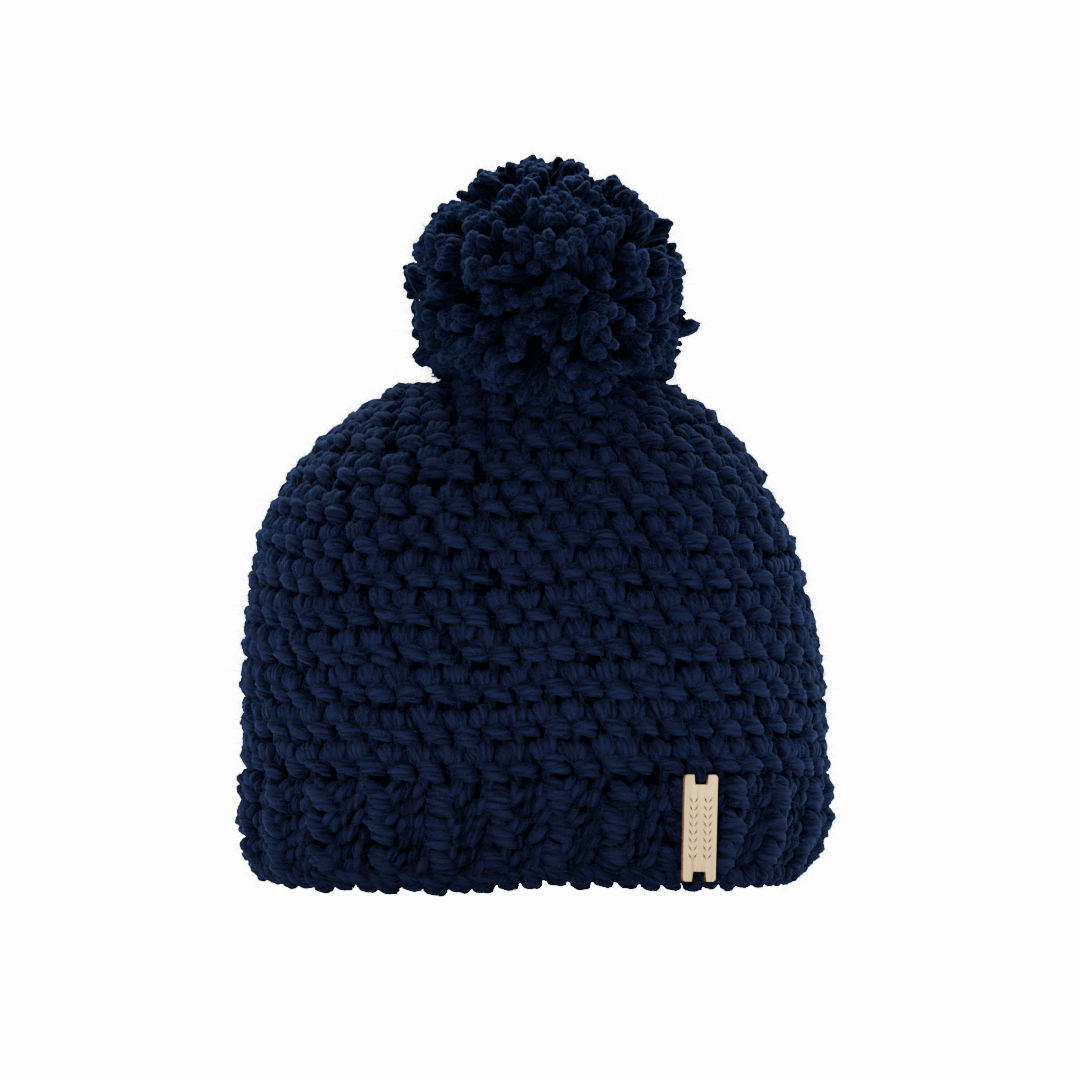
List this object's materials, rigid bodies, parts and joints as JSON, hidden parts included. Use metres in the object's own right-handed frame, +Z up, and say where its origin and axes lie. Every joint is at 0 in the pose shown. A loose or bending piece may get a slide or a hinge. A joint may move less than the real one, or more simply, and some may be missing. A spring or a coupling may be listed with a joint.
{
  "type": "pom pom beanie",
  "caption": "Thick crocheted winter cap in navy yarn with a ribbed hem, a gathered crown, a fluffy yarn pom pom that rocks on its tie, and a notched wooden tag on the brim.",
  "frame": {"origin": "centre of the oval that the hem stands on, at floor level", "axes": "+Z up to the pom pom, +X along the cap's long way, -Y is the front with the tag"},
  "size_m": [0.227, 0.156, 0.282],
  "materials": {
    "navy_wool": "fuzzy plied wool yarn, navy",
    "pom_wool": "cut ends of plied wool yarn, navy",
    "maple": "pale veneer with scorched laser-cut edges and a scorched chevron motif"
  },
  "bodies": {
    "hat": {"hem_edge": "navy_wool", "ribbed_band": "navy_wool", "body_fabric": "navy_wool", "crown_fabric": "navy_wool", "gather_cord": "navy_wool", "woven_in_end": "navy_wool", "tie_end_left": "navy_wool", "tie_end_right": "navy_wool", "inside_knot": "navy_wool", "tag_plate": "maple", "tag_stitch_upper": "navy_wool", "tag_stitch_lower": "navy_wool"},
    "tie": {"tie_knot": "navy_wool"},
    "pom_pom": {"pom_pile": "pom_wool", "pom_binding": "navy_wool", "tie_tail_left": "navy_wool", "tie_tail_right": "navy_wool"}
  },
  "joints": [
    {"name": "pom_pom_nod", "type": "hinge", "parent": "hat", "child": "tie", "pos_m": [0, 0, 0.185], "axis": [1, 0, 0], "range_deg": [-10, 10], "stiffness_Nm_per_rad": 0.3},
    {"name": "pom_pom_sway", "type": "hinge", "parent": "tie", "child": "pom_pom", "pos_m": [0, 0, 0.185], "axis": [0, 1, 0], "range_deg": [-10, 10], "stiffness_Nm_per_rad": 0.3}
  ]
}
